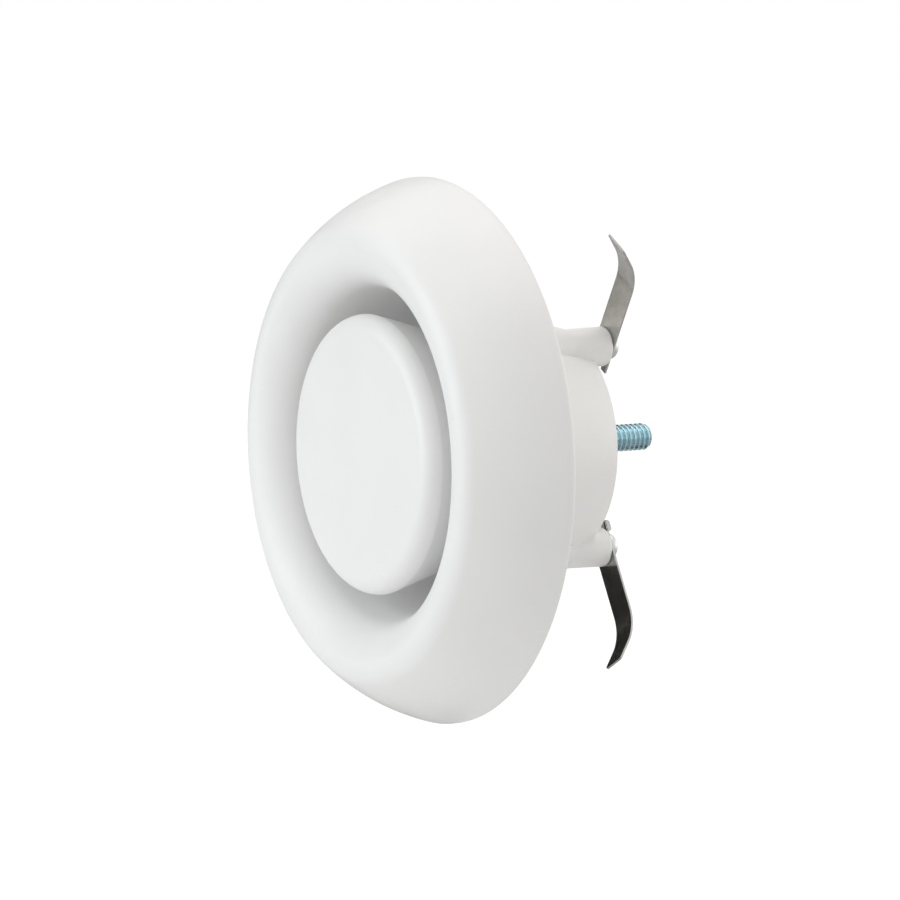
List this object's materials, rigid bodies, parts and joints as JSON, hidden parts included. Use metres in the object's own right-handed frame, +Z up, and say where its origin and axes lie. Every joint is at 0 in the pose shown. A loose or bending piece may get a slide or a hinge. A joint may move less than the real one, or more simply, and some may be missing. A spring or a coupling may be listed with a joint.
{
  "type": "extract air valve",
  "caption": "Round extract air valve: a rolled front ring and funnel neck, a screw-adjusted control disc on a threaded spindle, and leaf springs on posts that grip the duct.",
  "frame": {"origin": "centre of the ring's rear edge, on the wall or ceiling plane", "axes": "+Y along the valve's axis into the duct, front facing -Y, +Z up"},
  "size_m": [0.125, 0.0805, 0.125],
  "materials": {
    "white_moulding": "smooth white moulded plastic with a soft satin gloss",
    "blue_zinc": "blue passivated zinc plate",
    "spring_steel": "dull rolled spring steel",
    "bright_zinc": "bright zinc plate"
  },
  "bodies": {
    "body": {"valve_body": "white_moulding", "bridge_nut": "blue_zinc", "lock_nut": "blue_zinc", "spring_screw_1": "bright_zinc", "spring_screw_2": "bright_zinc", "spring_screw_3": "bright_zinc"},
    "carrier": {"spindle_washer": "blue_zinc"},
    "disc": {"control_disc": "white_moulding", "spindle": "blue_zinc", "disc_nut": "blue_zinc"},
    "spring_1": {"leaf_spring_1": "spring_steel"},
    "spring_2": {"leaf_spring_2": "spring_steel"},
    "spring_3": {"leaf_spring_3": "spring_steel"}
  },
  "joints": [
    {"name": "disc_travel", "type": "slide", "parent": "body", "child": "carrier", "axis": [0, 1, 0], "range_m": [-0.0121, 0.0201]},
    {"name": "disc_turn", "type": "hinge", "parent": "carrier", "child": "disc", "pos_m": [0, 0, 0], "axis": [0, 1, 0], "range_deg": [-3401.6, 5669.3]},
    {"name": "spring_1_bend", "type": "hinge", "parent": "body", "child": "spring_1", "pos_m": [0.01572, 0.03805, 0.02724], "axis": [0.866, 0, -0.5], "range_deg": [0, 30], "stiffness_Nm_per_rad": 0.6, "deforming": ["leaf_spring_1"]},
    {"name": "spring_2_bend", "type": "hinge", "parent": "body", "child": "spring_2", "pos_m": [-0.03145, 0.03805, 0], "axis": [0, 0, 1], "range_deg": [0, 30], "stiffness_Nm_per_rad": 0.6, "deforming": ["leaf_spring_2"]},
    {"name": "spring_3_bend", "type": "hinge", "parent": "body", "child": "spring_3", "pos_m": [0.01572, 0.03805, -0.02724], "axis": [-0.866, 0, -0.5], "range_deg": [0, 30], "stiffness_Nm_per_rad": 0.6, "deforming": ["leaf_spring_3"]}
  ],
  "couplings": [
    {"joint": "disc_travel", "follows": "disc_turn", "m_per_rad": 0.00020213}
  ]
}
